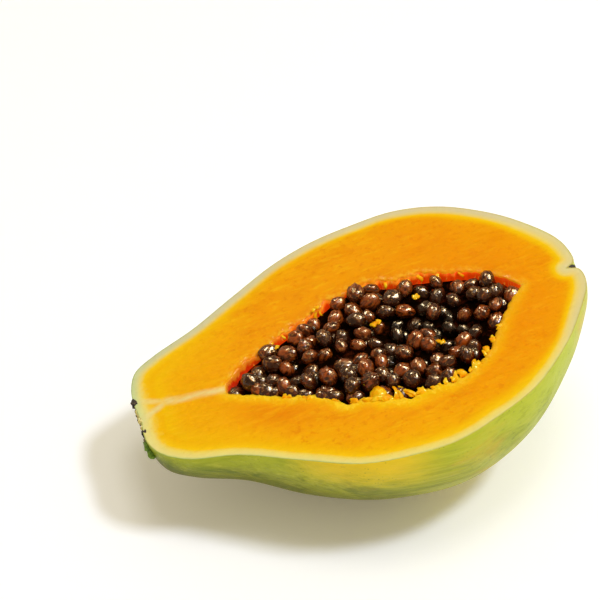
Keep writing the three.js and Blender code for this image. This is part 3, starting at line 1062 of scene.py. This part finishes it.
def bed_finish():
    """The wet dark bed of pulp and seeds under the loose seeds."""
    finish = Finish("papaya seed bed", Specular_IOR_Level=0)
    place = finish.place()
    lumps = finish.cells(place, 260)
    threads = finish.noise(place, 400, 4, 0.6)
    colour = finish.mix(threads.span(0.5, 0.75), tint(14, 5, 1), tint(70, 24, 6))
    finish.surface_set(
        Base_Color=colour,
        Roughness=threads.span(0.4, 0.7, 0.35, 0.6),
        Normal=finish.bump(lumps + threads, 0.0012),
    )
    return finish.material


def build_bed():
    """The lump that the seeds lie in: the cavity's own shape, a little smaller, under the bed's hills."""
    cavity = Profile(CAVITY)
    bm = bmesh.new()
    inset = 1.2

    def under(u, v):
        return wall_place(cavity, cavity.t_at(u), math.pi * v, 0, inset)

    def over(u, v):
        t = cavity.t_at(u)
        return wall_place(cavity, t, 0, 0, inset).lerp(wall_place(cavity, t, math.pi, 0, inset), v)

    grid(bm, 60, 18, under)
    grid(bm, 60, 30, over)
    bmesh.ops.remove_doubles(bm, verts=bm.verts[:], dist=1e-3)
    for vert in bm.verts:
        ceiling = bed_height(*vert.co.xy) - BED_BELOW
        vert.co.z = min(vert.co.z, ceiling + 0.4 * noise.noise(vert.co * 0.5))
        vert.co = to_row(vert.co)
    return finished("seed_bed", bm, [bed_finish()], "seeds")


def build_floor(settings):
    # The floor glows a little, warm and even: painted light that lightens and warms the cast shadow.
    finish = Finish("studio floor", Specular_IOR_Level=0, Emission_Strength=0.12)
    finish.surface_set(Emission_Color=(1, 0.84, 0.6, 1))
    shade = finish.noise(finish.place(), 3, 2)
    finish.surface_set(
        Base_Color=finish.mix(shade, settings.floor_colour[:], tint(253, 254, 255)),
        Roughness=0.6,
    )
    bm = bmesh.new()
    bmesh.ops.create_grid(bm, x_segments=4, y_segments=4, size=FLOOR_SIZE)
    mesh = bpy.data.meshes.new("floor")
    bm.to_mesh(mesh)
    bm.free()
    mesh.materials.append(finish.material)
    floor = placed("floor", mesh)


def light(name, place, power, size):
    """A square lamp, turned to the lit point."""
    data = bpy.data.lights.new(name, "AREA")
    data.energy = power
    data.size = size
    lamp = placed(name, data)
    lamp.location = place
    lamp.rotation_euler = (Vector(LIT_POINT) - Vector(place)).to_track_quat("-Z", "Y").to_euler()
    return lamp


def build_lights(settings):
    key = light("key light", KEY_PLACE, settings.key_power, KEY_SIZE)
    key.data.color = settings.key_colour[:3]
    light("soft box", BOX_PLACE, settings.box_power, BOX_SIZE)
    for place, size, share in CARDS:
        card = light("glint card", place, settings.card_power * share, size)
        card.data.color = CARD_COLOUR
        card.visible_diffuse = card.visible_camera = False
    world = bpy.data.worlds.new("studio")
    world.use_nodes = True
    background = world.node_tree.nodes["Background"]
    background.inputs["Color"].default_value = settings.surround_colour
    background.inputs["Strength"].default_value = settings.surround
    bpy.context.scene.world = world
    bpy.context.scene.view_settings.view_transform = "Standard"


def build_camera(settings):
    """A camera at the photograph's viewpoint, turned so that the fruit falls at the photograph's place."""
    turn, height, lean = CAMERA_TURN, CAMERA_HEIGHT, CAMERA_LEAN
    back = Vector((math.sin(turn) * math.cos(height), -math.cos(turn) * math.cos(height), math.sin(height)))
    right = Vector((math.cos(turn), math.sin(turn), 0))
    up = back.cross(right)
    leant_right = math.cos(lean) * right + math.sin(lean) * up
    leant_up = -math.sin(lean) * right + math.cos(lean) * up
    pitch = Matrix.Rotation(-REST_PITCH, 3, "Y")
    axes = Matrix((pitch @ leant_right, pitch @ leant_up, pitch @ back)).transposed()
    seen = Vector((TARGET_OFF_CENTRE[0], -TARGET_OFF_CENTRE[1], -FOCAL_PIXELS))
    aim = seen.rotation_difference(Vector((0, 0, -1))).to_matrix()
    data = bpy.data.cameras.new("camera")
    data.sensor_width = SENSOR
    data.lens = settings.lens
    data.clip_start = 0.05
    camera = placed("camera", data)
    place = to_row(CAMERA_TARGET + back * CAMERA_DISTANCE)
    camera.matrix_world = Matrix.Translation(place) @ (axes @ aim).to_4x4()
    bpy.context.scene.camera = camera


def number_property(name, description, default, **limits):
    return bpy.props.FloatProperty(name=name, description=description, default=default, min=0, **limits)


def colour_property(name, description, default):
    return bpy.props.FloatVectorProperty(
        name=name, description=description, default=default, size=4, min=0, max=1, subtype="COLOR"
    )


class PapayaHalfSettings(bpy.types.PropertyGroup):
    """Sizes and colours of the cut fruit."""

    edge_wander: number_property("Edge wander", "How far the cavity's torn edge wanders, in mm", 0.8, max=2)
    flesh_colour: colour_property("Flesh", "Colour of the deep flesh", tint(242, 156, 4))
    ripe_colour: colour_property("Ripe peel", "Colour of the ripest patches of the peel", tint(226, 184, 48))


class PapayaPulpSettings(bpy.types.PropertyGroup):
    """Amount and colour of the torn pulp."""

    threads: bpy.props.IntProperty(
        name="Threads", description="Small torn bits of pulp at the cavity's edge", default=20, min=0, max=300
    )
    colour: colour_property("Pulp", "Colour of the torn pulp", tint(250, 182, 4))


class PapayaSeedSettings(bpy.types.PropertyGroup):
    """Colours of the seeds."""

    dark_colour: colour_property("Dark", "Colour of the darkest seed coats", tint(14, 5, 2))
    brown_colour: colour_property("Brown", "Colour of the lighter seed coats", tint(60, 20, 3))


class PapayaStageSettings(bpy.types.PropertyGroup):
    """Lights, floor and camera."""

    key_power: number_property("Key light", "Power of the key light", 43, unit="POWER")
    box_power: number_property("Soft box", "Power of the soft box overhead", 3, unit="POWER")
    card_power: number_property("Cards", "Power of the cards that wet surfaces mirror", 44, unit="POWER")
    key_colour: colour_property("Key colour", "Colour of the key light", (0.76, 0.83, 1, 1))
    surround: number_property("Surround", "Strength of the pale surround", 0.52, max=3)
    surround_colour: colour_property("Surround colour", "Colour of the pale surround", (1, 0.89, 0.66, 1))
    lens: number_property(
        "Lens", "Focal length of the camera", SENSOR * FOCAL_PIXELS / PICTURE_PIXELS, unit="CAMERA"
    )
    floor_colour: colour_property("Floor", "Colour of the studio floor", (1, 1, 1, 1))


class PAPAYA_OT_half(bpy.types.Operator):
    """Build the peel, the cut face and the cavity"""

    bl_idname = "papaya.half"
    bl_label = "Papaya half"

    def execute(self, context):
        build_half(context.scene.papaya_half)
        return {"FINISHED"}


class PAPAYA_OT_scar(bpy.types.Operator):
    """Build the corky scar of the stalk and the dry remnant of the flower"""

    bl_idname = "papaya.scar"
    bl_label = "Stalk scar and flower remnant"

    def execute(self, context):
        build_scar()
        build_flower_remnant()
        return {"FINISHED"}


class PAPAYA_OT_pulp(bpy.types.Operator):
    """Build the torn pulp at the cavity's edge"""

    bl_idname = "papaya.pulp"
    bl_label = "Torn pulp"

    def execute(self, context):
        build_pulp(context.scene.papaya_pulp)
        return {"FINISHED"}


class PAPAYA_OT_seed_bed(bpy.types.Operator):
    """Build the dark bed under the seeds"""

    bl_idname = "papaya.seed_bed"
    bl_label = "Seed bed"

    def execute(self, context):
        build_bed()
        return {"FINISHED"}


class PAPAYA_OT_seeds(bpy.types.Operator):
    """Build the loose seeds"""

    bl_idname = "papaya.seeds"
    bl_label = "Seeds"

    def execute(self, context):
        build_seeds(context.scene.papaya_seeds)
        return {"FINISHED"}


class PAPAYA_OT_stage(bpy.types.Operator):
    """Build the floor, the lights and the camera"""

    bl_idname = "papaya.stage"
    bl_label = "Studio stage"

    def execute(self, context):
        settings = context.scene.papaya_stage
        build_floor(settings)
        build_lights(settings)
        build_camera(settings)
        return {"FINISHED"}


GROUPS = {
    "papaya_half": PapayaHalfSettings,
    "papaya_pulp": PapayaPulpSettings,
    "papaya_seeds": PapayaSeedSettings,
    "papaya_stage": PapayaStageSettings,
}
OPERATORS = (
    PAPAYA_OT_half,
    PAPAYA_OT_scar,
    PAPAYA_OT_pulp,
    PAPAYA_OT_seed_bed,
    PAPAYA_OT_seeds,
    PAPAYA_OT_stage,
)


class PAPAYA_PT_panel(bpy.types.Panel):
    """Lists the papaya's pieces and their settings"""

    bl_idname = "PAPAYA_PT_panel"
    bl_label = "Papaya Half"
    bl_space_type = "VIEW_3D"
    bl_region_type = "UI"
    bl_category = "Papaya"

    def draw(self, context):
        for operator in OPERATORS:
            self.layout.operator(operator.bl_idname)
        for name, group in GROUPS.items():
            box = self.layout.box()
            for field in group.__annotations__:
                box.prop(getattr(context.scene, name), field)


def register():
    for kind in (*GROUPS.values(), *OPERATORS, PAPAYA_PT_panel):
        bpy.utils.register_class(kind)
    for name, group in GROUPS.items():
        setattr(bpy.types.Scene, name, bpy.props.PointerProperty(type=group))


def unregister():
    for name in GROUPS:
        delattr(bpy.types.Scene, name)
    for kind in (PAPAYA_PT_panel, *OPERATORS, *GROUPS.values()):
        bpy.utils.unregister_class(kind)


def main():
    register()
    bpy.ops.papaya.half()
    bpy.ops.papaya.scar()
    bpy.ops.papaya.pulp()
    bpy.ops.papaya.seed_bed()
    bpy.ops.papaya.seeds()
    bpy.ops.papaya.stage()
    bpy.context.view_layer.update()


if __name__ == "__main__":
    main()
